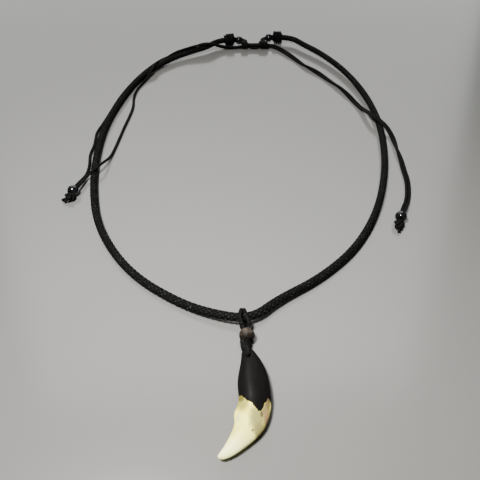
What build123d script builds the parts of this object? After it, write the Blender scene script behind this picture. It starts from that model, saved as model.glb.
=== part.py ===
from build123d import *
from math import cos, hypot, inf, radians, sin, tan
import os

# Wolf tooth necklace, lying on a surface at z = 0, in millimetres.
# The origin is the middle of the loop, on that surface.
# X runs across the loop, Y from the tooth to the clasp, Z up.

# Cords
main_cord_diameter = 4.0
thin_cord_diameter = 1.5
strand_gap = 0.2
piece_clearance = 0.1
crossing_clearance = 3.0
raised_lift = 2.0
arc_share = 0.45

# End knots, wrapped round the ends of the main cord
end_knot_diameter = 9.4
end_knot_length = 6.4
end_knot_turns = 4
turn_overlap = 0.08
cord_seat_depth = 4.4

# Clasp beads and tail beads
bead_diameter = 6.0
bead_gap = 1.2
bore_rounding = 0.3

# Slide knots and tail knots
slide_knot_diameter = 5.2
lead_turn = 1.8
tail_run_in = 3.5
tail_knot_diameter = 4.0
tail_end_length = 3.0

# Bail, pendant bead and the knot under it
bail_clearance = 0.4
bail_neck_length = 3.1
bail_shoulder = 1.1
pendant_bead_diameter = 6.4
pendant_bead_rounding = 0.4
pendant_knot_diameter = 5.8
pendant_knot_depth = 2.9
pendant_knot_rounding = 1.3

# Tooth, and the loop of thin cord through its root
tooth_length = 44.6
tooth_width = 13.1
tooth_thickness = 7.0
tooth_bow = 4.3
root_gap = 0.8
hole_from_root_end = 4.4
hole_clearance = 0.3
loop_clearance = 0.3

# Places on the surface, as (x, y), and headings of the tails seen from above.
# The clasp's knots stand at their offsets from its middle, and the main cord's last bends
# at their offsets from the middles of its end knots.
clasp_place = (9.6, 153.5)
end_knot_offsets = {"left": (-19.6, 5.1), "right": (19.3, 9.4)}
slide_knot_offsets = {"left": (-7.2, -0.1), "right": (7.2, 0.1)}
cord_bend_offsets = {"left": (-8.8, -1.9, 0.0), "right": (11.1, -0.6, -0.1)}
bail_place = (-0.5, -105.6)
pendant_bead_x = 1.5
tooth_root_x = 1.3
tooth_hole_x = 1.9
tail_bead_places = {"left": (-95.0, -20.9), "right": (84.1, -41.5)}
tail_headings = {"left": (-0.350, -0.937), "right": (-0.380, -0.925)}
tail_end_headings = {"left": (-0.930, -0.368), "right": (-0.200, -0.980)}

# Values worked out from the sizes above
cord_radius = main_cord_diameter / 2
strand_radius = thin_cord_diameter / 2
half_spacing = (thin_cord_diameter + strand_gap) / 2
bead_radius = bead_diameter / 2
pair_bore_radius = half_spacing + strand_radius + piece_clearance
quad_bore_radius = hypot(half_spacing, half_spacing) + strand_radius + piece_clearance
pendant_bead_radius = pendant_bead_diameter / 2
end_knot_radius = end_knot_diameter / 2
slide_knot_radius = slide_knot_diameter / 2
tail_knot_radius = tail_knot_diameter / 2
pendant_knot_radius = pendant_knot_diameter / 2
tail_hump = main_cord_diameter + crossing_clearance
raised_hump = raised_lift + tail_hump
bail_lift = thin_cord_diameter + bail_clearance
root_lift = thin_cord_diameter + loop_clearance

# Route of the main cord between its last bends, from the left one round the tooth to the
# right one. Each row: x, y, height of its underside above the surface.
main_cord_route = [
    (-27.8, 147.0, raised_lift),
    (-39.5, 140.8, 1.5),
    (-54.0, 131.0, 0.9),
    (-66.0, 116.8, 0.4),
    (-76.2, 100.3, 0.0),
    (-82.4, 80.5, 0.0),
    (-88.8, 48.0, 0.0),
    (-89.2, 17.0, 0.0),
    (-85.4, -15.0, 0.0),
    (-76.5, -48.0, 0.0),
    (-56.0, -78.5, 0.0),
    (-28.5, -97.5, 0.0),
    (-6.5, -105.7, bail_lift),
    (5.0, -105.4, bail_lift),
    (15.5, -95.6, 0.8),
    (37.0, -82.3, 0.0),
    (57.3, -63.0, 0.0),
    (73.2, -36.0, 0.0),
    (83.6, -4.0, 0.0),
    (88.6, 27.0, 0.0),
    (89.6, 55.0, 0.0),
    (85.0, 86.0, 0.5),
    (74.8, 115.0, 1.1),
    (60.8, 138.0, 1.7),
    (48.0, 152.0, 2.1),
]

# Routes of the tails. Each row: x, y, height of the underside above the surface.
# A pair follows one line, with a strand on each side of it, until its strands part.
pair_routes = {
    "left": [
        (-3.5, 151.1, 0.0),
        (-13.0, 149.8, 0.0),
        (-23.5, 143.6, raised_hump),
        (-34.0, 148.0, raised_hump),
        (-44.5, 142.6, 3.0),
        (-53.7, 136.0, 2.6),
        (-61.9, 127.9, 2.2),
    ],
    "right": [
        (23.6, 154.9, 0.0),
        (29.5, 149.4, 0.0),
        (37.5, 138.6, 0.0),
        (48.5, 121.8, 0.0),
        (57.0, 112.6, 0.0),
        (67.5, 97.5, 0.0),
        (75.8, 78.0, 0.0),
        (81.6, 62.8, 0.0),
        (85.2, 52.5, tail_hump),
        (90.0, 42.6, tail_hump),
        (94.9, 34.0, 0.0),
        (95.6, 24.0, 0.0),
        (94.6, 11.5, 0.0),
        (96.7, -1.0, 0.0),
        (95.3, -14.5, 0.0),
        (90.6, -27.0, 0.0),
    ],
}
inner_strand_route = [
    (-68.6, 119.0, tail_hump),
    (-67.0, 109.5, tail_hump),
    (-70.6, 100.5, 0.0),
    (-74.2, 88.5, 0.0),
    (-74.6, 72.0, 0.0),
    (-75.2, 56.0, 0.0),
    (-77.2, 38.0, 0.0),
    (-79.2, 22.0, 0.0),
    (-81.0, 11.5, 0.0),
    (-84.0, 2.8, tail_hump),
    (-88.6, -4.6, tail_hump),
]
outer_strand_route = [
    (-69.0, 118.2, 1.6),
    (-77.0, 106.4, 0.8),
    (-82.4, 94.0, 0.0),
    (-86.6, 79.0, 0.0),
    (-89.8, 64.0, 0.0),
    (-91.6, 51.0, 0.0),
    (-94.0, 39.5, 0.0),
    (-91.9, 25.5, 0.0),
    (-94.2, 13.0, 0.0),
    (-92.9, 1.5, 0.0),
]

# Sections of the tooth from the root's end to the tip. Columns: place along the length,
# sideways place as a share of the bow, width and thickness as shares of their sizes,
# turn of the section in degrees, and lift off the surface as a share of the root's lift.
tooth_section_shares = [
    (0.000, 0.00, 0.16, 0.26, 30, 1.55),
    (0.018, 0.05, 0.33, 0.46, 27, 1.20),
    (0.085, 0.33, 0.50, 0.62, 17, 1.00),
    (0.215, 0.58, 0.82, 0.90, 8, 0.50),
    (0.400, 0.69, 0.96, 0.99, 2, 0.15),
    (0.560, 0.62, 1.00, 1.00, -5, 0.00),
    (0.680, 0.35, 0.97, 0.98, -13, 0.00),
    (0.770, 0.02, 0.85, 0.90, -22, 0.00),
    (0.855, -0.55, 0.70, 0.76, -35, 0.00),
    (0.925, -1.25, 0.47, 0.56, -46, 0.05),
    (0.975, -1.87, 0.28, 0.36, -53, 0.10),
    (1.000, -2.24, 0.12, 0.16, -56, 0.35),
]


def at_height(place, height):
    """The point at this height over a place on the surface."""
    return Vector(place[0], place[1], height)


def clasp_centres(offsets, height):
    """The centres, at this height, of the pieces that stand at these offsets in the clasp."""
    middle = at_height(clasp_place, height)
    return {side: middle + Vector(*offset, 0) for side, offset in offsets.items()}


def laid_points(route, radius):
    """Centre points of a cord of this radius along the rows of a route."""
    return [Vector(x, y, radius + lift) for x, y, lift in route]


def beside(points, distance):
    """Corners of the line at this distance to the left of a line, seen from above."""
    across = [
        Vector(start.Y - end.Y, end.X - start.X, 0).normalized()
        for start, end in zip(points, points[1:])
    ]
    moved = []
    for point, before, after in zip(points, [across[0], *across], [*across, across[-1]]):
        moved.append(point + (before + after) * (distance / (1 + before.dot(after))))
    return moved


def corner_radii(points, most):
    """The largest round bend that each corner's runs leave room for, and no more than most."""
    radii = []
    for before, corner, after in zip(points, points[1:], points[2:]):
        run_in = corner - before
        run_out = after - corner
        shorter = min(run_in.length, run_out.length)
        half_turn = radians(run_in.get_angle(run_out) / 2)
        largest = arc_share * shorter / tan(half_turn)
        radii.append(min(largest, most))
    return radii


def keep(piece, name):
    """Label a finished piece and write it."""
    piece.label = name
    export_step(piece, f"parts/{name}.step")


def keep_cord(points, diameter, name, most=inf):
    """A round cord along straight runs joined by tangent arcs."""
    radii = corner_radii(points, most)
    with BuildPart() as cord:
        with BuildLine() as path:
            FilletPolyline(*points, radius=radii)
        with BuildSketch(Plane(origin=path.wire() @ 0, z_dir=path.wire() % 0)) as section:
            Circle(diameter / 2)
        sweep()
    length = path.wire().length
    share = cord.part.volume / (section.sketch.area * length)
    print(f"{name}: length {length:.1f}, volume over section times length {share:.4f}")
    print("  radii", [round(radius, 1) for radius in radii])
    keep(cord.part, name)


def keep_bead(centre, heading, diameter, bore_radius, rounding, name):
    """A round bead with its bore along the heading."""
    wall_plane = Plane(origin=centre, x_dir=heading, z_dir=heading.cross(Vector(0, 0, 1)))
    with BuildPart() as bead:
        with BuildSketch(wall_plane) as wall:
            Circle(diameter / 2)
            with Locations((0, bore_radius)):
                Rectangle(
                    diameter, diameter, align=(Align.CENTER, Align.MAX), mode=Mode.SUBTRACT
                )
            fillet(wall.vertices(), rounding)
        revolve(axis=Axis(centre, heading))
    keep(bead.part, name)


def keep_end_knot(centre, heading, name):
    """Turns of cord side by side on a core, with the seat that the main cord fills."""
    pitch = end_knot_length / end_knot_turns
    turn_radius = pitch / 2 + turn_overlap
    ring_radius = end_knot_radius - turn_radius
    first_turn = (pitch - end_knot_length) / 2
    with BuildPart(Plane(origin=centre, z_dir=heading)) as knot:
        Cylinder(ring_radius, end_knot_length)
        for turn in range(end_knot_turns):
            with Locations((0, 0, first_turn + turn * pitch)):
                Torus(ring_radius, turn_radius)
        with Locations((0, 0, end_knot_length / 2 - cord_seat_depth)):
            Cylinder(
                cord_radius + piece_clearance,
                end_knot_length,
                align=(Align.CENTER, Align.CENTER, Align.MIN),
                mode=Mode.SUBTRACT,
            )
    keep(knot.part, name)


os.makedirs("parts", exist_ok=True)

# Main cord, seated in its two end knots
end_knot_centres = clasp_centres(end_knot_offsets, end_knot_radius)
seat_headings = {
    side: at_height(offset, 0).normalized() for side, offset in cord_bend_offsets.items()
}
seat_floor = end_knot_length / 2 - cord_seat_depth + piece_clearance
cord_ends = {
    side: centre + seat_headings[side] * seat_floor for side, centre in end_knot_centres.items()
}
cord_bends = {
    side: centre + Vector(*cord_bend_offsets[side]) for side, centre in end_knot_centres.items()
}
main_points = [
    cord_ends["left"],
    cord_bends["left"],
    *laid_points(main_cord_route, cord_radius),
    cord_bends["right"],
    cord_ends["right"],
]
keep_cord(main_points, main_cord_diameter, "main_cord")

# Each side's end knot, clasp bead, slide knot and the doubled lead that joins them
slide_centres = clasp_centres(slide_knot_offsets, slide_knot_radius)
lead_from_knot = end_knot_length / 2 + piece_clearance
bead_from_knot = end_knot_length / 2 + bead_gap + bead_radius
for side, knot_centre in end_knot_centres.items():
    inward = -seat_headings[side]
    bead_centre = knot_centre + inward * bead_from_knot
    slide_centre = slide_centres[side]
    keep_end_knot(knot_centre, seat_headings[side], f"end_knot_{side}")
    keep_bead(
        bead_centre, inward, bead_diameter, pair_bore_radius, bore_rounding, f"clasp_bead_{side}"
    )
    with BuildPart(Plane(origin=slide_centre)) as slide_knot:
        Sphere(slide_knot_radius)
    keep(slide_knot.part, f"slide_knot_{side}")
    lead_start = knot_centre + inward * lead_from_knot
    lead_corner = bead_centre + inward * (bead_radius + lead_turn)
    lead_fall = (slide_centre - lead_corner).normalized()
    lead_end = slide_centre - lead_fall * (slide_knot_radius + piece_clearance)
    for number, distance in ((1, half_spacing), (2, -half_spacing)):
        lead_points = beside([lead_start, lead_corner, lead_end], distance)
        keep_cord(
            lead_points, thin_cord_diameter, f"lead_{side}_{number}", most=thin_cord_diameter
        )

# Four strands between the slide knots
crossing_run = slide_centres["right"] - slide_centres["left"]
crossing_start = slide_knot_radius + piece_clearance
crossing_plane = Plane(origin=slide_centres["left"], z_dir=crossing_run)
with BuildPart(crossing_plane.offset(crossing_start)) as crossing_strands:
    with GridLocations(2 * half_spacing, 2 * half_spacing, 2, 2):
        Cylinder(
            strand_radius,
            crossing_run.length - 2 * crossing_start,
            align=(Align.CENTER, Align.CENTER, Align.MIN),
        )
for number, strand in enumerate(crossing_strands.part.solids(), start=1):
    keep(strand, f"crossing_strand_{number}")

# Tails, from each slide knot through the tail bead to the tail knot.
# Each row: side, strand, its distance to the left of the pair's line, its own route.
tails = [
    ("left", "outer", -half_spacing, outer_strand_route),
    ("left", "inner", half_spacing, inner_strand_route),
    ("right", "outer", half_spacing, []),
    ("right", "inner", -half_spacing, []),
]
for side, strand, distance, own_route in tails:
    pair_points = laid_points(pair_routes[side], strand_radius)
    first_run = (pair_points[0] - slide_centres[side]).normalized()
    pair_start = slide_centres[side] + first_run * (slide_knot_radius + piece_clearance)
    bead_centre = at_height(tail_bead_places[side], bead_radius)
    heading = Vector(*tail_headings[side], 0)
    bead_entry = bead_centre - heading * (bead_radius + tail_run_in)
    bead_exit = bead_centre + heading * bead_radius
    tail_points = [
        *beside([pair_start, *pair_points], distance),
        *laid_points(own_route, strand_radius),
        *beside([bead_entry, bead_exit], distance),
    ]
    keep_cord(tail_points, thin_cord_diameter, f"tail_{side}_{strand}")

# Tail beads and the stopper knots behind them, with their two short cut ends
for side, place in tail_bead_places.items():
    bead_centre = at_height(place, bead_radius)
    heading = Vector(*tail_headings[side], 0)
    end_heading = Vector(*tail_end_headings[side], 0)
    knot_centre = bead_centre + heading * (bead_radius + piece_clearance + tail_knot_radius)
    keep_bead(
        bead_centre, heading, bead_diameter, pair_bore_radius, bore_rounding, f"tail_bead_{side}"
    )
    with BuildPart(Plane(origin=knot_centre, x_dir=(0, 0, 1), z_dir=end_heading)) as tail_knot:
        Sphere(tail_knot_radius)
        with GridLocations(1, 2 * half_spacing, 1, 2):
            Cylinder(
                strand_radius,
                tail_knot_radius + tail_end_length,
                align=(Align.CENTER, Align.CENTER, Align.MIN),
            )
    keep(tail_knot.part, f"tail_knot_{side}")

# Pendant bead, with its bore along Y
bail_x, bail_y = bail_place
bead_back_y = bail_y - cord_radius - bail_neck_length
bead_front_y = bead_back_y - pendant_bead_diameter
pendant_bead_centre = Vector(
    pendant_bead_x, (bead_back_y + bead_front_y) / 2, pendant_bead_radius
)
keep_bead(
    pendant_bead_centre,
    Vector(0, -1, 0),
    pendant_bead_diameter,
    quad_bore_radius,
    pendant_bead_rounding,
    "pendant_bead",
)

# Bail, two strands side by side round the main cord and through the pendant bead
bail_reach = cord_radius + bail_clearance + strand_radius
bail_centre_z = cord_radius + bail_lift
bail_back_y = bail_y + bail_reach
shoulder_y = bail_y - cord_radius - bail_shoulder
shoulder_x = (bail_x + pendant_bead_x) / 2
bore_low_z = pendant_bead_radius - half_spacing
bore_high_z = pendant_bead_radius + half_spacing
bail_path = [
    Vector(pendant_bead_x, bead_front_y, bore_low_z),
    Vector(pendant_bead_x, bead_back_y, bore_low_z),
    Vector(shoulder_x, shoulder_y, bail_centre_z - bail_reach),
    Vector(bail_x, bail_back_y, bail_centre_z - bail_reach),
    Vector(bail_x, bail_back_y, bail_centre_z + bail_reach),
    Vector(shoulder_x, shoulder_y, bail_centre_z + bail_reach),
    Vector(pendant_bead_x, bead_back_y, bore_high_z),
    Vector(pendant_bead_x, bead_front_y, bore_high_z),
]
for number, offset_x in ((1, -half_spacing), (2, half_spacing)):
    bail_points = [point + Vector(offset_x, 0, 0) for point in bail_path]
    keep_cord(bail_points, thin_cord_diameter, f"bail_strand_{number}")

# Pendant knot, round about the line of the bore
knot_back_y = bead_front_y - piece_clearance
pendant_knot_centre = Vector(
    pendant_bead_x, knot_back_y - pendant_knot_depth / 2, pendant_knot_radius
)


def pendant_knot_body(margin):
    """The body of the pendant knot, larger all round by this margin."""
    radius = pendant_knot_radius + margin
    half_depth = pendant_knot_depth / 2 + margin
    with BuildPart() as body:
        with BuildSketch(Plane(origin=pendant_knot_centre, x_dir=(0, 1, 0), z_dir=(1, 0, 0))):
            RectangleRounded(2 * half_depth, 2 * radius, pendant_knot_rounding + margin)
            with Locations((0, -radius)):
                Rectangle(2 * half_depth, 2 * radius, mode=Mode.SUBTRACT)
        revolve(axis=Axis(pendant_knot_centre, (0, 1, 0)))
    return body.part


keep(pendant_knot_body(0), "pendant_knot")

# Tooth, lofted from its root to its tip, with the hole through its root
root_end_y = knot_back_y - pendant_knot_depth - root_gap
tooth_hole_place = Vector(tooth_hole_x, root_end_y - hole_from_root_end, 0)
with BuildPart() as tooth:
    for along, aside, width_share, thickness_share, turn, lift_share in tooth_section_shares:
        half_width = width_share * tooth_width / 2
        half_thickness = thickness_share * tooth_thickness / 2
        section_centre = Vector(
            tooth_root_x + aside * tooth_bow,
            root_end_y - along * tooth_length,
            half_thickness + lift_share * root_lift,
        )
        turned = radians(turn)
        section_plane = Plane(
            origin=section_centre,
            x_dir=(cos(turned), sin(turned), 0),
            z_dir=(sin(turned), -cos(turned), 0),
        )
        with BuildSketch(section_plane):
            Ellipse(half_width, half_thickness)
    loft()
    with Locations(tooth_hole_place):
        Cylinder(
            strand_radius + hole_clearance,
            2 * (root_lift + tooth_thickness),
            mode=Mode.SUBTRACT,
        )
keep(tooth.part, "tooth")

# Loop of thin cord from the knot, over the root, down its hole and back under it
hole_row = tooth_section_shares[2]
root_top_z = hole_row[3] * tooth_thickness + hole_row[5] * root_lift
over_root_z = root_top_z + loop_clearance + strand_radius
knot_x, knot_y = pendant_knot_centre.X, pendant_knot_centre.Y
hole_x, hole_y = tooth_hole_place.X, tooth_hole_place.Y
loop_points = [
    Vector(knot_x, knot_y, pendant_knot_diameter - 2 * strand_radius),
    Vector(knot_x, (knot_y + root_end_y) / 2 - strand_radius, over_root_z - strand_radius),
    Vector(hole_x, hole_y, over_root_z),
    Vector(hole_x, hole_y, strand_radius),
    Vector(knot_x, knot_y, strand_radius),
]
knot_hollow = pendant_knot_body(piece_clearance)
with BuildPart() as tooth_loop:
    with BuildLine() as loop_path:
        FilletPolyline(*loop_points, radius=corner_radii(loop_points, thin_cord_diameter))
    with BuildSketch(Plane(origin=loop_path.wire() @ 0, z_dir=loop_path.wire() % 0)):
        Circle(strand_radius)
    sweep()
    add(knot_hollow, mode=Mode.SUBTRACT)
keep(tooth_loop.part, "tooth_loop")
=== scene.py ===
from math import cos, floor, pi, radians, sin, sqrt

import bpy
import bmesh
from mathutils import Matrix, Vector


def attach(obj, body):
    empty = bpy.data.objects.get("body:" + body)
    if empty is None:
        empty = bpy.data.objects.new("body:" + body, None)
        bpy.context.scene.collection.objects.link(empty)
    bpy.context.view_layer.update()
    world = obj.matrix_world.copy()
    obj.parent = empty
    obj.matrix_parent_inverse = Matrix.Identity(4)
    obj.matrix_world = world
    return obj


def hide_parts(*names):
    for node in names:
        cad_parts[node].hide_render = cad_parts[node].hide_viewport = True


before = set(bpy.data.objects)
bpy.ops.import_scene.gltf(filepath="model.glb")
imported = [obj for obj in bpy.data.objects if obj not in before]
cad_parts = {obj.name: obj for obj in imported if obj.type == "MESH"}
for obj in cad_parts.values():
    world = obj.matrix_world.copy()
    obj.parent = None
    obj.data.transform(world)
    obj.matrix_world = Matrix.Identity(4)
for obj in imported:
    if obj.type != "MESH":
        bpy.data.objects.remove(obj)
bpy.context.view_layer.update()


# Table, light and camera
# The necklace lies on a plain satin table and is seen from above its tooth. A small lamp high
# above the tooth, on its left, throws short shadows, and the table mirrors softly the dark
# cords and a pale wall behind the clasp.
camera_place = (-0.0015, -0.2265, 0.18694)
camera_pitch = radians(42.433)
camera_data = bpy.data.cameras.new("camera")
camera_data.sensor_width = 36.0
camera_data.lens = 36.75
camera_data.clip_start = 0.01
camera = bpy.data.objects.new("camera", camera_data)
camera.location = camera_place
camera.rotation_euler = (camera_pitch, 0, 0)
bpy.context.scene.collection.objects.link(camera)
bpy.context.scene.camera = camera


def add_light(name, place, aim, size, power, colour, spread):
    """A soft light that points from its place at its aim, weaker to the sides."""
    data = bpy.data.lights.new(name, "AREA")
    data.shape = "RECTANGLE"
    data.size, data.size_y = size
    data.energy = power
    data.color = colour
    data.spread = spread
    light = bpy.data.objects.new(name, data)
    light.location = place
    light.rotation_euler = (Vector(aim) - Vector(place)).to_track_quat("-Z", "Y").to_euler()
    bpy.context.scene.collection.objects.link(light)


add_light(
    "lamp",
    place=(-0.12, -0.17, 0.42),
    aim=(0.01, -0.13, 0),
    size=(0.09, 0.09),
    power=2.85,
    colour=(1.0, 0.99, 0.965),
    spread=radians(110),
)
add_light(
    "wall",
    place=(-0.06, 1.15, 1.10),
    aim=(0, 0, 0.7),
    size=(1.75, 2.0),
    power=22.5,
    colour=(1.0, 0.995, 0.98),
    spread=radians(180),
)
world = bpy.data.worlds.new("room")
world.use_nodes = True
background = world.node_tree.nodes["Background"]
background.inputs["Color"].default_value = (0.80, 0.82, 0.84, 1)
background.inputs["Strength"].default_value = 0.12
bpy.context.scene.world = world


class Mark:
    """A socket in a material's nodes. A sum written with marks becomes the nodes that do it."""

    def __init__(self, tree, socket=None):
        self.tree = tree
        self.socket = socket

    def node(self, kind, settings, sockets, output=0):
        """Adds a node with these settings, then these socket values or links."""
        made = self.tree.nodes.new(kind)
        for name, value in settings.items():
            if name == "stops":
                ramp = made.color_ramp
                while len(ramp.elements) < len(value):
                    ramp.elements.new(1.0)
                for element, (position, colour) in zip(ramp.elements, value):
                    element.position = position
                    element.color = colour
            else:
                setattr(made, name, value)
        for name, value in sockets.items():
            if isinstance(value, Mark):
                self.tree.links.new(value.socket, made.inputs[name])
            else:
                made.inputs[name].default_value = value
        return Mark(self.tree, made.outputs[output])

    def math(self, operation, *values):
        """The outcome of a Math node on these values."""
        return self.node("ShaderNodeMath", {"operation": operation}, dict(enumerate(values)))

    def __add__(self, other):
        return self.math("ADD", self, other)

    __radd__ = __add__

    def __sub__(self, other):
        return self.math("SUBTRACT", self, other)

    def __rsub__(self, other):
        return self.math("SUBTRACT", other, self)

    def __mul__(self, other):
        return self.math("MULTIPLY", self, other)

    __rmul__ = __mul__

    def __truediv__(self, other):
        return self.math("DIVIDE", self, other)

    def part(self, axis):
        """One number, X, Y or Z, of a place."""
        return self.node("ShaderNodeSeparateXYZ", {}, {"Vector": self}, output=axis)

    def within(self, low, high):
        """0 below low, 1 above high, and smooth between them. low may be the larger one."""
        return self.node(
            "ShaderNodeMapRange",
            {"interpolation_type": "SMOOTHSTEP"},
            {"Value": self, "From Min": low, "From Max": high},
        )

    def noise(self, place, scale, detail=3.0, stretch=(1, 1, 1)):
        """Soft random patches between 0 and 1 over the places given."""
        moved = self.node("ShaderNodeMapping", {}, {"Vector": place, "Scale": stretch})
        return self.node(
            "ShaderNodeTexNoise", {}, {"Vector": moved, "Scale": scale, "Detail": detail}
        )

    def mix(self, share, low, high):
        """The colour between low and high at this share."""
        return self.node(
            "ShaderNodeMix", {"data_type": "RGBA"}, {0: share, 6: low, 7: high}, output=2
        )

    def bump(self, height, distance, strength=1.0):
        """The normal of a surface raised by this height times this distance."""
        return self.node(
            "ShaderNodeBump",
            {},
            {"Height": height, "Distance": distance, "Strength": strength},
            output="Normal",
        )


def new_finish(name, constants):
    """A material with these constants on its shader, and a mark to work its nodes with."""
    material = bpy.data.materials.new(name)
    material.use_nodes = True
    shader = material.node_tree.nodes["Principled BSDF"]
    for socket, value in constants.items():
        shader.inputs[socket].default_value = value
    return material, Mark(material.node_tree)


def feed(material, marks):
    """Links each mark to the shader's socket of that name."""
    shader = material.node_tree.nodes["Principled BSDF"]
    for socket, mark in marks.items():
        material.node_tree.links.new(mark.socket, shader.inputs[socket])


table_size = 6.0
table_level = -0.0001

table_finish, mark = new_finish("table_paint", {"Specular IOR Level": 0.75})
place = mark.node("ShaderNodeTexCoord", {}, {}, output="Object")
cloud = mark.noise(place, scale=3.0)
grain = mark.noise(place, scale=900.0, detail=2.0)
table_colour = mark.mix(cloud, (0.128, 0.127, 0.122, 1), (0.142, 0.141, 0.135, 1))
feed(
    table_finish,
    {
        "Base Color": table_colour,
        "Roughness": 0.14 + 0.05 * cloud,
        "Normal": mark.bump(grain, 0.00002, 0.15),
    },
)
bpy.ops.object.select_all(action="DESELECT")
bpy.ops.mesh.primitive_plane_add(size=table_size, location=(0, 0, table_level))
table = bpy.context.object
table.name = "table"
table.data.materials.append(table_finish)


# Main cord
# One length of 4 mm rope, braided of twelve black nylon strands, each over one and under
# the next. It runs from the left end knot round the pendant to the right end knot.
main_radius = 0.00215
main_cells = 6
main_relief = 0.26
main_samples = 6

# Each row: x, y, height of the cord's underside above the table.
main_route = [
    (-0.0089, 0.15883, 0.0026),
    (-0.0188, 0.1567, 0.0026),
    (-0.0278, 0.1470, 0.0020),
    (-0.0395, 0.1408, 0.0015),
    (-0.0540, 0.1310, 0.0009),
    (-0.0660, 0.1168, 0.0004),
    (-0.0762, 0.1003, 0.0),
    (-0.0824, 0.0805, 0.0),
    (-0.0888, 0.0480, 0.0),
    (-0.0892, 0.0170, 0.0),
    (-0.0854, -0.0150, 0.0),
    (-0.0765, -0.0480, 0.0),
    (-0.0560, -0.0785, 0.0),
    (-0.0285, -0.0975, 0.0),
    (-0.0065, -0.1057, 0.0019),
    (0.0050, -0.1054, 0.0019),
    (0.0155, -0.0956, 0.0008),
    (0.0370, -0.0823, 0.0),
    (0.0573, -0.0630, 0.0),
    (0.0732, -0.0360, 0.0),
    (0.0836, -0.0040, 0.0),
    (0.0886, 0.0270, 0.0),
    (0.0896, 0.0550, 0.0),
    (0.0850, 0.0860, 0.0005),
    (0.0748, 0.1150, 0.0011),
    (0.0608, 0.1380, 0.0017),
    (0.0480, 0.1520, 0.0021),
    (0.0400, 0.1623, 0.0025),
    (0.0278, 0.16296, 0.0026),
]


# How round a strand of the braid is, how high it lies, and how far it dips under the next.
strand_roundness = 0.7
strand_level = 0.65
strand_dip = 0.35
# How much longer a cell of the braid is along the cord than round it.
cell_stretch = 1.15


def laid(route, radius):
    """Centre points of a cord of this radius along a route on the table."""
    return [Vector((x, y, underside + radius)) for x, y, underside in route]


def even_line(points, spacing):
    """Points about this far apart along the smooth line that these points lead."""
    curve = bpy.data.curves.new("line", "CURVE")
    curve.dimensions = "3D"
    curve.resolution_u = 24
    spline = curve.splines.new("NURBS")
    spline.points.add(len(points) - 1)
    for point, place in zip(spline.points, points):
        point.co = (*place, 1)
    spline.order_u = 3
    spline.use_endpoint_u = True
    holder = bpy.data.objects.new("line", curve)
    mesh = bpy.data.meshes.new_from_object(holder)
    fine = [vertex.co.copy() for vertex in mesh.vertices]
    bpy.data.objects.remove(holder)
    bpy.data.curves.remove(curve)
    bpy.data.meshes.remove(mesh)
    reached = [0.0]
    for before, after in zip(fine, fine[1:]):
        reached.append(reached[-1] + (after - before).length)
    count = max(2, round(reached[-1] / spacing))
    line = []
    index = 0
    for step in range(count + 1):
        target = reached[-1] * step / count
        while index < len(fine) - 2 and reached[index + 1] < target:
            index += 1
        span = max(reached[index + 1] - reached[index], 1e-12)
        line.append(fine[index].lerp(fine[index + 1], (target - reached[index]) / span))
    return line


def length_of(line):
    """The length of a line of points."""
    return sum((after - before).length for before, after in zip(line, line[1:]))


def braid_height(right, left):
    """How far out the braid stands, 0 to 1, at a place counted in strands each way."""
    across_right = right - floor(right) - 0.5
    across_left = left - floor(left) - 0.5
    wave = cos(pi * (across_left + floor(left) + floor(right)))
    counter_wave = cos(pi * (across_right + floor(left) + floor(right)))
    over = cos(pi * across_right) ** strand_roundness * (strand_level + strand_dip * wave)
    under = cos(pi * across_left) ** strand_roundness * (strand_level - strand_dip * counter_wave)
    return max(over, under)


def braided(name, points, radius, cells, relief, samples):
    """A round braided cord along the smooth line that these points lead, and that line."""
    cell_length = cell_stretch * 2 * pi * radius / cells
    line = even_line(points, cell_length / samples)
    around = samples * cells
    heights = [
        [
            braid_height((step - row) / samples, (step + row) / samples)
            for step in range(around)
        ]
        for row in range(2 * samples)
    ]
    rings = [
        (cos(2 * pi * step / around), sin(2 * pi * step / around)) for step in range(around)
    ]
    vertices = []
    side = (line[1] - line[0]).orthogonal().normalized()
    for row, centre in enumerate(line):
        along = (line[min(row + 1, len(line) - 1)] - line[max(row - 1, 0)]).normalized()
        side = (side - along * side.dot(along)).normalized()
        up = along.cross(side)
        for (across, rise), height in zip(rings, heights[row % (2 * samples)]):
            reach = radius * (1 - relief * (1 - height))
            vertices.append(centre + side * (across * reach) + up * (rise * reach))
    faces = []
    lay = []
    for row in range(len(line) - 1):
        for step in range(around):
            following = (step + 1) % around
            low = row * around
            high = low + around
            faces.append((low + step, low + following, high + following, high + step))
            for corner_step, corner_row in ((0, 0), (1, 0), (1, 1), (0, 1)):
                turn = (step + corner_step) / samples
                run = (row + corner_row) / samples
                lay.extend((turn - run, turn + run))
    last = (len(line) - 1) * around
    faces.append(tuple(reversed(range(around))))
    faces.append(tuple(range(last, last + around)))
    lay.extend([0.0] * (4 * around))
    mesh = bpy.data.meshes.new(name)
    mesh.from_pydata(vertices, [], faces)
    mesh.uv_layers.new(name="lay").data.foreach_set("uv", lay)
    mesh.shade_smooth()
    piece = bpy.data.objects.new(name, mesh)
    bpy.context.scene.collection.objects.link(piece)
    return piece, line


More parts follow.
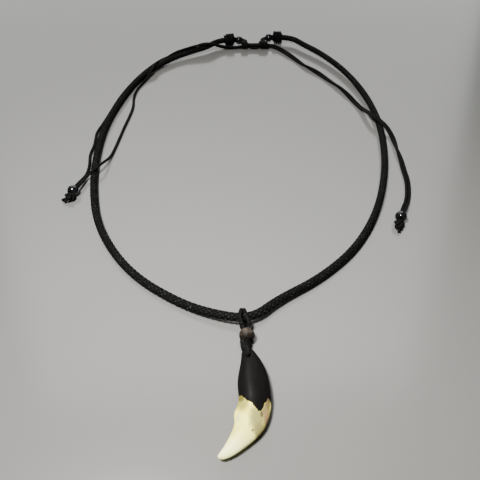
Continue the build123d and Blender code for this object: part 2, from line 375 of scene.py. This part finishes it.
def nylon_finish(name, gap_shade, crest, roughness, fleck):
    """Black nylon, glossier and with painted highlights on the crests, painted shade in the gaps.
    """
    material, mark = new_finish(name, {"Specular IOR Level": 0.06})
    lay = mark.node("ShaderNodeUVMap", {"uv_map": "lay"}, {})
    place = mark.node("ShaderNodeTexCoord", {}, {}, output="Object")
    right_wave = mark.math("SINE", lay.part("X") * pi)
    left_wave = mark.math("SINE", lay.part("Y") * pi)
    crossing = right_wave * left_wave * 0.4
    right_strand = mark.math("ABSOLUTE", right_wave) * 0.6 + crossing
    left_strand = mark.math("ABSOLUTE", left_wave) * 0.6 - crossing
    crown = mark.math("MAXIMUM", right_strand, left_strand)
    fibres_right = mark.noise(lay, scale=1.0, detail=2.0, stretch=(22, 1.2, 1))
    fibres_left = mark.noise(lay, scale=1.0, detail=2.0, stretch=(1.2, 22, 1))
    fibres = fibres_right * 0.5 + fibres_left * 0.5
    patches = mark.noise(place, scale=260.0)
    lint = mark.noise(place, scale=1500.0, detail=1.0).within(0.70, 0.78) * fleck
    # Painted highlight on the strands' crests, in patches, and painted shade in the gaps between
    # them.
    painted_crest_light = crown.within(0.80, 1.00) * patches.within(0.42, 0.66)
    colour = mark.mix(painted_crest_light, gap_shade, crest)
    colour = mark.mix(lint, colour, (0.10, 0.10, 0.10, 1))
    feed(
        material,
        {
            "Base Color": colour,
            "Roughness": roughness + 0.30 * (1 - crown.within(0.60, 0.95)),
            "Normal": mark.bump(crown + fibres * 0.3, 0.00022, 0.8),
        },
    )
    return material


# The gap colour is darkened as painted shade, and the crest colour lightened as painted
# highlight.
main_nylon = nylon_finish(
    "braided_nylon",
    gap_shade=(0.0018, 0.0018, 0.0017, 1),
    crest=(0.024, 0.024, 0.023, 1),
    roughness=0.48,
    fleck=0.5,
)
main_cord, main_line = braided(
    "main_braid",
    laid(main_route, main_radius),
    main_radius,
    main_cells,
    main_relief,
    main_samples,
)
main_cord.data.materials.append(main_nylon)
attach(main_cord, "root")
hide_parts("main_cord")


# Tails
# Two strands of thin waxed nylon leave each slide knot side by side and twist round each
# other. The left pair parts, and both its strands cross over the main cord on their own.
thin_radius = 0.00084
thin_cells = 4
thin_relief = 0.14
thin_samples = 4
pair_reach = 0.00085

# Each row: x, y, height of the pair's underside, and its roll about its line in degrees.
left_pair = [
    (-0.0001, 0.1527, 0.0011, 0),
    (-0.0035, 0.1518, 0.0002, 40),
    (-0.0105, 0.1508, 0.0004, 60),
    (-0.0175, 0.1496, 0.0018, 60),
    (-0.0240, 0.1478, 0.0056, 20),
    (-0.0305, 0.1454, 0.0066, 0),
    (-0.0370, 0.1437, 0.0050, 40),
    (-0.0440, 0.1402, 0.0036, 75),
    (-0.0506, 0.1370, 0.0030, 75),
    (-0.0566, 0.1318, 0.0026, 40),
    (-0.0618, 0.1272, 0.0024, 0),
]
right_pair = [
    (0.0194, 0.1541, 0.0012, 0),
    (0.0240, 0.1547, 0.0, 50),
    (0.0295, 0.1500, 0.0, 75),
    (0.0375, 0.1390, 0.0, 60),
    (0.0435, 0.1300, 0.0, 10),
    (0.0490, 0.1213, 0.0, -50),
    (0.0560, 0.1130, 0.0, -130),
    (0.0630, 0.1030, 0.0, -185),
    (0.0692, 0.0930, 0.0, -230),
    (0.0742, 0.0818, 0.0, -290),
    (0.0780, 0.0724, 0.0, -350),
    (0.0815, 0.0633, 0.0006, -370),
    (0.0845, 0.0532, 0.0038, -360),
    (0.0884, 0.0442, 0.0048, -360),
    (0.0925, 0.0396, 0.0030, -370),
    (0.0952, 0.0345, 0.0004, -360),
    (0.0957, 0.0265, 0.0, -370),
    (0.0953, 0.0165, 0.0, -440),
    (0.0955, 0.0085, 0.0, -480),
    (0.0954, 0.0, 0.0, -540),
    (0.0954, -0.0095, 0.0, -540),
    (0.0936, -0.0195, 0.0, -540),
    (0.0912, -0.0275, 0.0, -540),
    (0.0872, -0.0350, 0.00225, -540),
    (0.0830, -0.0443, 0.00225, -540),
]
left_inner = [
    (-0.0640, 0.1205, 0.0046),
    (-0.0660, 0.1128, 0.0042),
    (-0.0690, 0.1055, 0.0012),
    (-0.0724, 0.0975, 0.0),
    (-0.0754, 0.0890, 0.0),
    (-0.0761, 0.0780, 0.0),
    (-0.0745, 0.0680, 0.0),
    (-0.0752, 0.0570, 0.0),
    (-0.0770, 0.0430, 0.0),
    (-0.0783, 0.0280, 0.0),
    (-0.0797, 0.0150, 0.0),
    (-0.0808, 0.0085, 0.0012),
    (-0.0824, 0.0014, 0.0040),
    (-0.0860, -0.0052, 0.0044),
    (-0.0903, -0.0080, 0.0014),
]
left_outer = [
    (-0.0680, 0.1216, 0.0012),
    (-0.0745, 0.1115, 0.0004),
    (-0.0799, 0.0990, 0.0),
    (-0.0840, 0.0860, 0.0),
    (-0.0868, 0.0740, 0.0),
    (-0.0890, 0.0610, 0.0),
    (-0.0912, 0.0480, 0.0),
    (-0.0938, 0.0370, 0.0),
    (-0.0929, 0.0285, 0.0),
    (-0.0925, 0.0225, 0.0),
    (-0.0934, 0.0140, 0.0),
    (-0.0915, 0.0050, 0.0),
    (-0.0911, -0.0045, 0.0),
]
left_bead_run = [
    (-0.0927, -0.0148, 0.00225, 0),
    (-0.0961, -0.0237, 0.00225, 0),
]


def strand_of(pair, hand):
    """Centre points of one strand of a rolling pair. hand is 1 for its left, -1 its right."""
    places = [Vector((x, y, 0)) for x, y, underside, roll in pair]
    points = []
    for index, (x, y, underside, roll) in enumerate(pair):
        run = places[min(index + 1, len(pair) - 1)] - places[max(index - 1, 0)]
        across = Vector((-run.y, run.x, 0)).normalized()
        turned = radians(roll)
        middle = underside + thin_radius + pair_reach * abs(sin(turned))
        sideways = across * (hand * pair_reach * cos(turned))
        points.append(Vector((x, y, middle + hand * pair_reach * sin(turned))) + sideways)
    return points


# The gap colour is darkened as painted shade, and the crest colour lightened as painted
# highlight.
thin_nylon = nylon_finish(
    "thin_nylon",
    gap_shade=(0.0024, 0.0024, 0.0022, 1),
    crest=(0.0175, 0.0175, 0.0168, 1),
    roughness=0.42,
    fleck=0.4,
)


def thin_braid(name, points, radius=thin_radius):
    """A thin braided cord along the smooth line that these points lead, and that line."""
    return braided(name, points, radius, thin_cells, thin_relief, thin_samples)


def put_for(piece, node):
    """Gives a piece of thin nylon its finish and puts it in the place of this node."""
    piece.data.materials.append(thin_nylon)
    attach(piece, "root")
    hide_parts(node)


def add_strand(name, points, node, radius=thin_radius):
    """A thin cord along the smooth line that these points lead, in place of this node."""
    strand, line = thin_braid(name, points, radius)
    put_for(strand, node)
    return strand, line


tails = {
    "tail_left_inner": strand_of(left_pair, 1)
    + laid(left_inner, thin_radius)
    + strand_of(left_bead_run, 1),
    "tail_left_outer": strand_of(left_pair, -1)
    + laid(left_outer, thin_radius)
    + strand_of(left_bead_run, -1),
    "tail_right_outer": strand_of(right_pair, 1),
    "tail_right_inner": strand_of(right_pair, -1),
}
tail_strands = {}
for node, points in tails.items():
    tail_strands[node] = add_strand(node + "_cord", points, node)


# Tail beads and clasp beads
# Small round beads of glossy black glass, each drilled wide enough for two thin strands.
# They slide on the tails, or sit between an end knot and a slide knot.
bead_radius = 0.0031
bead_rim = 0.00028
pair_bore = 0.0017

black_glass, mark = new_finish("black_glass", {"Specular IOR Level": 0.48})
place = mark.node("ShaderNodeTexCoord", {}, {}, output="Object")
smudge = mark.noise(place, scale=420.0)
feed(
    black_glass,
    {
        "Base Color": mark.mix(smudge, (0.002, 0.002, 0.0025, 1), (0.006, 0.006, 0.007, 1)),
        "Roughness": 0.04 + 0.10 * smudge.within(0.45, 0.75),
        "Normal": mark.bump(mark.noise(place, scale=300.0, detail=1.0), 0.00003, 0.3),
    },
)


def drilled_bead(name, centre, heading, radius, bore, rim):
    """A round bead with a bore along the heading, its rim rounded."""
    bpy.ops.object.select_all(action="DESELECT")
    bpy.ops.mesh.primitive_uv_sphere_add(segments=48, ring_count=32, radius=radius)
    bead = bpy.context.object
    bead.name = name
    half_bore = sqrt(radius**2 - bore**2)
    bpy.ops.object.mode_set(mode="EDIT")
    for level in (half_bore, -half_bore):
        bpy.ops.mesh.select_all(action="SELECT")
        bpy.ops.mesh.bisect(
            plane_co=(0, 0, level),
            plane_no=(0, 0, 1),
            clear_outer=level > 0,
            clear_inner=level < 0,
        )
    bpy.ops.mesh.select_all(action="DESELECT")
    bpy.ops.mesh.select_mode(type="EDGE")
    bpy.ops.mesh.select_non_manifold()
    bpy.ops.mesh.bridge_edge_loops()
    bpy.ops.mesh.select_all(action="DESELECT")
    work = bmesh.from_edit_mesh(bead.data)
    for edge in work.edges:
        heights = [abs(vertex.co.z) for vertex in edge.verts]
        edge.select = min(heights) > half_bore - 1e-6
    bmesh.update_edit_mesh(bead.data)
    bpy.ops.mesh.bevel(offset=rim, segments=4)
    bpy.ops.mesh.select_all(action="SELECT")
    bpy.ops.mesh.normals_make_consistent(inside=False)
    bpy.ops.object.mode_set(mode="OBJECT")
    bead.data.shade_smooth()
    turned = Vector(heading).to_track_quat("Z", "Y").to_matrix().to_4x4()
    bead.data.transform(Matrix.Translation(centre) @ turned)
    return bead


# Each bead's middle, and the heading of its bore.
beads = {
    "tail_bead_left": ((-0.0950, -0.0209, bead_radius), (-0.350, -0.937, 0)),
    "tail_bead_right": ((0.0841, -0.0415, bead_radius), (-0.380, -0.925, 0)),
    "clasp_bead_left": ((-0.0023, 0.1600, 0.0036), (0.9775, 0.211, 0)),
    "clasp_bead_right": ((0.0217, 0.1636, 0.0040), (-0.9985, 0.054, 0)),
}
for node, (centre, heading) in beads.items():
    bead = drilled_bead(node + "_glass", centre, heading, bead_radius, pair_bore, bead_rim)
    bead.data.materials.append(black_glass)
    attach(bead, "root")
    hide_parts(node)


# Tail knots
# Both strands of a tail are tied in one overhand knot under the bead, pulled tight, and cut
# off short, one end a little longer than the other.
knot_size = 0.00078
overhand_steps = 24


def overhand(centre, heading, size):
    """Points of a tight overhand knot, its three lobes round an axis square to the heading."""
    turned = Vector(heading).to_track_quat("X", "Z")
    points = []
    for step in range(overhand_steps + 1):
        turn = 2 * pi * step / overhand_steps
        reach = 2 + cos(3 * turn)
        local = Vector((reach * cos(2 * turn), reach * sin(2 * turn), 1.5 * sin(3 * turn)))
        points.append(Vector(centre) + turned @ (local * size))
    return points


def join_pieces(name, pieces):
    """Joins pieces into one of this name."""
    bpy.ops.object.select_all(action="DESELECT")
    for piece in pieces:
        piece.select_set(True)
    bpy.context.view_layer.objects.active = pieces[0]
    bpy.ops.object.join()
    pieces[0].name = name
    pieces[0].data.name = name
    return pieces[0]


# Each row: node, centre, bead heading, and where its two cut ends lie.
tail_knots = [
    (
        "tail_knot_left",
        (-0.0961, -0.0254, 0.0024),
        (-0.350, -0.937, 0),
        [(-0.0984, -0.0261, 0.0014), (-0.1004, -0.0266, 0.0010)],
        [(-0.0978, -0.0274, 0.0014), (-0.0988, -0.0281, 0.0011)],
    ),
    (
        "tail_knot_right",
        (0.0822, -0.0466, 0.0024),
        (-0.380, -0.925, 0),
        [(0.0816, -0.0486, 0.0014), (0.0815, -0.0510, 0.0010)],
        [(0.0828, -0.0484, 0.0015), (0.0832, -0.0494, 0.0012)],
    ),
]
for node, centre, heading, long_end, short_end in tail_knots:
    tie, line = thin_braid(node + "_tie", overhand(centre, heading, knot_size))
    made = [tie]
    for number, end in enumerate((long_end, short_end)):
        points = [Vector(centre), *[Vector(point) for point in end]]
        cut_end, line = thin_braid(f"{node}_end_{number}", points)
        made.append(cut_end)
    knot = join_pieces(node + "_tied", made)
    put_for(knot, node)

for node, (strand, line) in tail_strands.items():
    side = node.split("_")[1]
    length_of(line)
length_of(main_line)


# End knots
# Each end of the main cord is bound with thin cord in two tight layers, wound up the cord
# and back again, so that the binding stands out like a small drum.
wind_radius = 0.00080
wind_turns = 4
wind_layers = (0.00278, 0.00392)
steps_a_turn = 12


def wound(centre, heading, layers, turns, pitch):
    """Points of a winding about the heading that goes up one layer and back down the next."""
    turned = Vector(heading).to_track_quat("Z", "Y")
    points = []
    angle = 0.0
    for layer, reach in enumerate(layers):
        direction = 1 if layer % 2 == 0 else -1
        for step in range(steps_a_turn * turns + 1):
            along = direction * (step / steps_a_turn - turns / 2) * pitch
            local = Vector((reach * cos(angle), reach * sin(angle), along))
            points.append(Vector(centre) + turned @ local)
            angle += 2 * pi / steps_a_turn
    return points


# Each knot's middle, and the heading of its winding.
end_knots = {
    "end_knot_left": ((-0.0100, 0.1586, 0.0047), (0.9775, 0.211, 0)),
    "end_knot_right": ((0.0289, 0.1629, 0.0047), (-0.9985, 0.054, 0)),
}
for node, (centre, heading) in end_knots.items():
    points = wound(centre, heading, wind_layers, wind_turns, 2 * wind_radius)
    add_strand(node + "_binding", points, node, wind_radius)


# Leads, slide knots and crossing strands
# A doubled thin cord comes out of each end knot, through its bead and into a slide knot.
# Each slide knot is a few turns round the four strands that cross between the two.
slide_centres = {
    "left": Vector((0.0024, 0.1527, 0.0031)),
    "right": Vector((0.0175, 0.1529, 0.0031)),
}
# Each row: side, the end knot's face, the bead's middle, and the bend behind the bead.
leads = [
    (
        "left",
        Vector((-0.0068, 0.1593, 0.0043)),
        Vector((-0.0023, 0.1600, 0.0036)),
        Vector((0.0026, 0.1602, 0.0036)),
    ),
    (
        "right",
        Vector((0.0256, 0.1631, 0.0043)),
        Vector((0.0217, 0.1636, 0.0040)),
        Vector((0.0166, 0.1626, 0.0036)),
    ),
]
lead_radius = 0.00116
# At the end knot the two strands of a lead stand one above the other, a little apart
# sideways, and at the bend they have closed up.
stack_across = 0.7
stack_rise = 1.1
bend_across = 0.7
# The last bend's place between the slide knot and the bend behind the bead.
last_bend = 0.45
for side, start, middle, bend in leads:
    inward = 1 if side == "left" else -1
    for number, offset in ((1, 1), (2, -1)):
        reach = offset * pair_reach
        sideways = Vector((0, reach, 0))
        stacked = Vector((0, stack_across * reach, stack_rise * reach))
        outward = Vector((-inward * reach, 0, 0))
        points = [
            start + stacked,
            middle + sideways,
            bend + sideways * bend_across + outward,
            slide_centres[side].lerp(bend, last_bend) + outward,
            slide_centres[side] + outward,
        ]
        node = f"lead_{side}_{number}"
        add_strand(node + "_cord", points, node, lead_radius)

slide_radius = 0.00092
slide_reach = 0.00220
slide_pitch = 0.00170
slide_turns = {"left": 3, "right": 4}
slide_heading = (1, 0.014, 0)
for side, centre in slide_centres.items():
    points = wound(centre, slide_heading, (slide_reach,), slide_turns[side], slide_pitch)
    add_strand(f"slide_knot_{side}_turns", points, f"slide_knot_{side}", slide_radius)

crossing_reach = 1.15 * pair_reach
crossing_sag = Vector((0, 0, 0.0010))
# Each row: share of the way from the left knot to the right one, of the strands' distance
# from their middle line, and of their sag.
crossing_rows = [
    (0.00, 0.7, 0.0),
    (0.25, 1.0, 0.9),
    (0.50, 1.1, 1.0),
    (0.75, 1.0, 0.9),
    (1.00, 0.7, 0.0),
]
# Where the four strands stand round their middle line, as across and up.
corners = ((-1, -1), (-1, 1), (1, -1), (1, 1))
for number, (across, rise) in enumerate(corners, start=1):
    spread = Vector((0, across * crossing_reach, rise * crossing_reach))
    points = [
        slide_centres["left"].lerp(slide_centres["right"], way) + spread * share
        - crossing_sag * sag
        for way, share, sag in crossing_rows
    ]
    node = f"crossing_strand_{number}"
    add_strand(node + "_cord", points, node)


# Bail
# A thin cord, doubled side by side, goes round the main cord and down through the pendant
# bead, and carries the tooth. It leans a little to the right.
bail_radius = 0.00098
bail_middle = 0.0015
cord_middle = Vector((-0.0005, -0.1056, 0.00405))
bail_reach = 0.00325
bead_low = 0.00235
bead_high = 0.00405
# Columns: how far the left strand, then the right one, stands from the bail's middle line,
# place along Y, and height.
bail_rows = [
    (-0.0013, 0.0006, -0.1171, bead_low),
    (-0.0013, 0.0006, -0.1107, bead_low),
    (-0.0024, -0.0006, -0.1087, cord_middle.z - bail_reach + 0.0002),
    (-0.0026, -0.0010, cord_middle.y + bail_reach, cord_middle.z - bail_reach + 0.0002),
    (-0.0023, -0.0015, cord_middle.y + bail_reach, cord_middle.z + bail_reach - 0.0008),
    (-0.0032, -0.0002, -0.1070, cord_middle.z + bail_reach - 0.0002),
    (-0.0023, 0.0009, -0.1092, cord_middle.z + 0.6 * bail_reach),
    (-0.0012, 0.0006, -0.1107, bead_high),
    (-0.0010, 0.0006, -0.1171, bead_high),
]
for number in (1, 2):
    points = [Vector((bail_middle + row[number - 1], row[2], row[3])) for row in bail_rows]
    node = f"bail_strand_{number}"
    add_strand(node + "_cord", points, node, bail_radius)


# Pendant bead
# A round bead of cast bronze, dark with age in its hollows, with a bore wide enough for the
# bail's four strands. Its colour is browner on the side away from the tooth and darker on the
# side towards it, as painted light and shade.
bronze_radius = 0.0034
bronze_rim = 0.00035
quad_bore = 0.00205
bead_centre = Vector((bail_middle, -0.1143, bronze_radius))

bronze, mark = new_finish("aged_bronze", {"Specular IOR Level": 0.09})
place = mark.node("ShaderNodeTexCoord", {}, {}, output="Object")
patina = mark.noise(place, scale=520.0, detail=5.0)
pits = mark.noise(place, scale=1900.0, detail=2.0)
# Painted light and shade: the bead's colour is lighter brown on the side away from the tooth and
# dark on the side towards it.
painted_light_side = (place.part("Y") - bead_centre.y).within(-0.0019, 0.0019)
# Brown patina patches, kept mostly to the side with painted light.
patina_and_painted_light = patina.within(0.30, 0.60) * (0.03 + 0.97 * painted_light_side)
feed(
    bronze,
    {
        "Base Color": mark.mix(patina_and_painted_light, (0.004, 0.003, 0.0018, 1), (0.080, 0.065, 0.052, 1)),
        "Metallic": 0.30 * patina_and_painted_light,
        "Roughness": 0.62 - 0.14 * patina_and_painted_light,
        "Normal": mark.bump(patina * 0.6 + pits * 0.4, 0.00012, 0.5),
    },
)
bronze_bead = drilled_bead(
    "bronze_bead", bead_centre, (0, -1, 0), bronze_radius, quad_bore, bronze_rim
)
bronze_bead.data.materials.append(bronze)
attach(bronze_bead, "root")
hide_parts("pendant_bead")


# Pendant knot and tooth loop
# Under the bead the four strands are tied in one knot that narrows towards the tooth, with
# its turns lying mostly along it. One strand goes on over the root, down through its hole
# and back underneath.
knot_middle = 0.0008
knot_wire = 0.00078
knot_lays = 7
# How far the lays turn round the knot from one row to the next, as a share of their spacing.
knot_twist = 0.35

# Each row: place along Y, height of its middle, and reach of the strands round that middle.
knot_rows = [
    (-0.1165, 0.0033, 0.0017),
    (-0.1178, 0.0032, 0.0016),
    (-0.1193, 0.0032, 0.0014),
    (-0.1206, 0.0033, 0.0012),
    (-0.1216, 0.0036, 0.0010),
]
# One turn and a bit lies across the others, about the knot's middle.
wrap_wire = 0.00060
wrap_reach = 0.0016
wrap_start = -0.1191
wrap_height = 0.0032
wrap_step = 0.00008
wrap_steps = 15


def round_knot(turn, reach, along, height):
    """A point this far round the pendant knot, at this reach from its middle."""
    return Vector((knot_middle + reach * cos(turn), along, height + reach * sin(turn)))


knot_parts = []
for lay in range(knot_lays):
    points = []
    for index, (along, height, reach) in enumerate(knot_rows):
        turn = 2 * pi * (lay + knot_twist * index) / knot_lays
        points.append(round_knot(turn, reach, along, height))
    strand, line = thin_braid(f"knot_lay_{lay}", points, knot_wire)
    knot_parts.append(strand)
wrap_points = []
for step in range(wrap_steps):
    turn = 2 * pi * step / steps_a_turn
    wrap_points.append(round_knot(turn, wrap_reach, wrap_start - wrap_step * step, wrap_height))
strand, line = thin_braid("knot_wrap", wrap_points, wrap_wire)
knot_parts.append(strand)
pendant_knot = join_pieces("pendant_knot_tied", knot_parts)
put_for(pendant_knot, "pendant_knot")

# The loop goes over the root's end, down through the hole and back underneath.
loop_points = [
    Vector((0.0013, -0.1188, 0.0046)),
    Vector((0.0013, -0.1208, 0.0066)),
    Vector((0.0019, -0.1243, 0.0073)),
    Vector((0.0019, -0.1253, 0.0068)),
    Vector((0.0019, -0.1253, 0.0012)),
    Vector((0.0018, -0.1243, 0.00088)),
    Vector((0.0016, -0.1200, 0.00090)),
    Vector((0.0016, -0.1185, 0.0012)),
]
add_strand("tooth_loop_cord", loop_points, "tooth_loop")


# Tooth
# A real canine, root and crown, about 45 mm long. The root is dipped in black paint with a
# ragged lower edge and drilled for its loop, and the crown is polished ivory, curved and blunt.
hole_place = Vector((0.0019, -0.1253, 0))
hole_radius = 0.00105
hole_depth = 0.03
hole_middle = 0.004

# Sections from the root's end to the tip. Columns: x and y of the left edge, x and y of the
# right edge, thickness, height of the underside above the table.
tooth_rows = [
    (-0.0001, -0.1213, 0.0018, -0.1205, 0.0018, 0.0028),
    (-0.0009, -0.1226, 0.0036, -0.1210, 0.0032, 0.0022),
    (-0.0011, -0.1272, 0.0056, -0.1240, 0.0046, 0.0017),
    (-0.0018, -0.1307, 0.0076, -0.1274, 0.0059, 0.0011),
    (-0.0025, -0.1346, 0.0094, -0.1313, 0.0065, 0.0007),
    (-0.0026, -0.1377, 0.0103, -0.1358, 0.0068, 0.0004),
    (-0.0022, -0.1410, 0.0108, -0.1404, 0.0070, 0.0002),
    (-0.0021, -0.1433, 0.0109, -0.1445, 0.0070, 0.0),
    (-0.0024, -0.1460, 0.0103, -0.1484, 0.0070, 0.0),
    (-0.0043, -0.1493, 0.0093, -0.1518, 0.0069, 0.0),
    (-0.0033, -0.1525, 0.0074, -0.1556, 0.0066, 0.0001),
    (-0.0047, -0.1563, 0.0043, -0.1586, 0.0058, 0.0004),
    (-0.0066, -0.1599, 0.0001, -0.1618, 0.0046, 0.0008),
    (-0.0085, -0.1628, -0.0043, -0.1647, 0.0031, 0.0014),
    (-0.0101, -0.1648, -0.0083, -0.1660, 0.0018, 0.0020),
]
# A low ridge runs down the upper side, at this share of the width from the left edge, and
# fades out towards the root's end.
ridge_share = 0.35
ridge_spread = 0.38
ridge_rise = 0.17
ridge_first_row = 2
ridge_full_row = 6
bpy.ops.object.select_all(action="DESELECT")
bpy.ops.mesh.primitive_circle_add(vertices=32, radius=0.5, fill_type="NGON")
tooth = bpy.context.object
tooth.name = "tooth_ivory"
bpy.ops.object.mode_set(mode="EDIT")
bpy.ops.mesh.select_all(action="SELECT")
for row in tooth_rows[1:]:
    bpy.ops.mesh.extrude_region_move(TRANSFORM_OT_translate={"value": (0, 0, 1)})
bpy.ops.mesh.select_all(action="SELECT")
bpy.ops.mesh.normals_make_consistent(inside=False)
bpy.ops.object.mode_set(mode="OBJECT")
for vertex in tooth.data.vertices:
    row = round(vertex.co.z)
    left_x, left_y, right_x, right_y, thickness, underside = tooth_rows[row]
    share = vertex.co.x + 0.5
    flank = min(abs(share - ridge_share) / ridge_spread, 1.0)
    fade = min(max((row - ridge_first_row) / (ridge_full_row - ridge_first_row), 0.0), 1.0)
    lift = 1 + ridge_rise * fade * (1 - flank)
    top = vertex.co.y * lift if vertex.co.y > 0 else vertex.co.y
    vertex.co = (
        left_x + (right_x - left_x) * share,
        left_y + (right_y - left_y) * share,
        underside + thickness * (top + 0.5),
    )
smooth = tooth.modifiers.new("smooth", "SUBSURF")
smooth.levels = 3
smooth.render_levels = 3
bpy.ops.object.modifier_apply(modifier="smooth")

bpy.ops.object.select_all(action="DESELECT")
bpy.ops.mesh.primitive_cylinder_add(
    vertices=48,
    radius=hole_radius,
    depth=hole_depth,
    location=(hole_place.x, hole_place.y, hole_middle),
)
drill = bpy.context.object
bpy.ops.object.select_all(action="DESELECT")
tooth.select_set(True)
bpy.context.view_layer.objects.active = tooth
cut = tooth.modifiers.new("cut", "BOOLEAN")
cut.object = drill
cut.operation = "DIFFERENCE"
bpy.ops.object.modifier_apply(modifier="cut")
bpy.data.objects.remove(drill)
tooth.data.shade_smooth()

ivory, mark = new_finish(
    "painted_ivory", {"Specular IOR Level": 0.04, "Coat Roughness": 0.30, "Coat IOR": 1.45}
)
place = mark.node("ShaderNodeTexCoord", {}, {}, output="Object")
across = place.part("X")
down = place.part("Y")
wobble = mark.noise(place, scale=700.0, detail=4.0)
blotch = mark.noise(place, scale=160.0, detail=3.0)
facets = mark.node(
    "ShaderNodeTexVoronoi", {"feature": "SMOOTH_F1"}, {"Vector": place, "Scale": 190.0}
)
paint_edge = mark.node(
    "ShaderNodeValToRGB",
    {
        "stops": [
            (0.00, (0.10, 0.10, 0.10, 1)),
            (0.14, (0.12, 0.12, 0.12, 1)),
            (0.26, (0.34, 0.34, 0.34, 1)),
            (0.40, (0.50, 0.50, 0.50, 1)),
            (0.52, (0.64, 0.64, 0.64, 1)),
            (0.62, (0.84, 0.84, 0.84, 1)),
            (0.68, (0.84, 0.84, 0.84, 1)),
            (0.76, (0.70, 0.70, 0.70, 1)),
            (0.81, (0.48, 0.48, 0.48, 1)),
            (0.92, (0.28, 0.28, 0.28, 1)),
            (1.00, (0.42, 0.42, 0.42, 1)),
        ]
    },
    {"Fac": (across + 0.003) / 0.0135},
)
paint_level = -0.1413
paint_drop = 0.0095
ragged = 0.0022 * (wobble - 0.5)
edge_place = paint_level - paint_drop * paint_edge + ragged
painted = (down - edge_place).within(-0.00012, 0.00012)
tip_level = -0.1640
dip = (down - tip_level).within(0.0, 0.010)
cream = mark.mix(blotch.within(0.3, 0.7), (0.74, 0.67, 0.10, 1), (0.93, 0.88, 0.19, 1))
cream = mark.mix(dip, (0.95, 0.93, 0.40, 1), cream)

# Stains on the ivory, and painted shade: the broad olive patches on the right half also stand in
# for the shade on the tooth's right side. Each row: x and y of the middle, half width, half
# length, strength, colour.
stains_and_painted_shade = [
    (0.0048, -0.1522, 0.0032, 0.0060, 0.90, (0.19, 0.18, 0.070, 1)),
    (0.0058, -0.1562, 0.0026, 0.0036, 0.85, (0.20, 0.18, 0.065, 1)),
    (0.0086, -0.1500, 0.0018, 0.0072, 0.75, (0.15, 0.12, 0.050, 1)),
    (-0.0005, -0.1456, 0.0030, 0.0044, 0.90, (0.24, 0.22, 0.050, 1)),
    (-0.0010, -0.1434, 0.0016, 0.0022, 0.95, (0.10, 0.085, 0.018, 1)),
    (0.0090, -0.1456, 0.0012, 0.0036, 0.90, (0.15, 0.10, 0.045, 1)),
    (0.0098, -0.1436, 0.0013, 0.0030, 0.85, (0.060, 0.045, 0.026, 1)),
    (0.0084, -0.1508, 0.0009, 0.0030, 0.85, (0.26, 0.15, 0.080, 1)),
    (0.0068, -0.1502, 0.0007, 0.0016, 0.95, (0.080, 0.055, 0.028, 1)),
    (0.0074, -0.1484, 0.0010, 0.0020, 0.70, (0.15, 0.11, 0.055, 1)),
    (-0.0021, -0.1512, 0.0010, 0.0014, 0.55, (0.40, 0.40, 0.30, 1)),
    (-0.0066, -0.1663, 0.0008, 0.0006, 0.55, (0.66, 0.42, 0.20, 1)),
    (0.0031, -0.1561, 0.0003, 0.0008, 1.00, (0.02, 0.014, 0.010, 1)),
]
# Each patch mixes its colour in: a stain, and for the broad olive patches on the right half,
# painted shade as well.
for patch_x, patch_y, half_width, half_length, strength, tint in stains_and_painted_shade:
    from_middle = (across - patch_x + ragged) / half_width
    from_level = (down - patch_y + 0.0030 * (blotch - 0.5)) / half_length
    spread = from_middle * from_middle + from_level * from_level
    cream = mark.mix(spread.within(1.30, 0.15) * strength, cream, tint)

# The paint shines most along the low ridge, which leans a little to the right, and less
# towards the root's end.
shine_x = 0.0015
shine_y = -0.1302
shine_lean = 0.09
shine_half_width = 0.0026
from_ridge = mark.math("ABSOLUTE", across - shine_x + shine_lean * (down - shine_y))
crest = 1 - mark.math("MINIMUM", from_ridge / shine_half_width, 1.0)
root_level = -0.1265
low_crest = crest * (down - root_level).within(0.0, -0.0060)
relief = wobble * 0.10 + facets + painted * 0.08 + low_crest * 0.3
black_paint = mark.mix(blotch, (0.0026, 0.0024, 0.0022, 1), (0.0040, 0.0037, 0.0034, 1))
feed(
    ivory,
    {
        "Base Color": mark.mix(painted, cream, black_paint),
        "Roughness": 0.36 + 0.10 * blotch + 0.10 * painted,
        "Coat Weight": 0.055 + 0.145 * (1 - painted) + 0.14 * painted * low_crest,
        "Normal": mark.bump(relief, 0.0010, 0.6),
    },
)
tooth.data.materials.append(ivory)
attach(tooth, "root")
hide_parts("tooth")
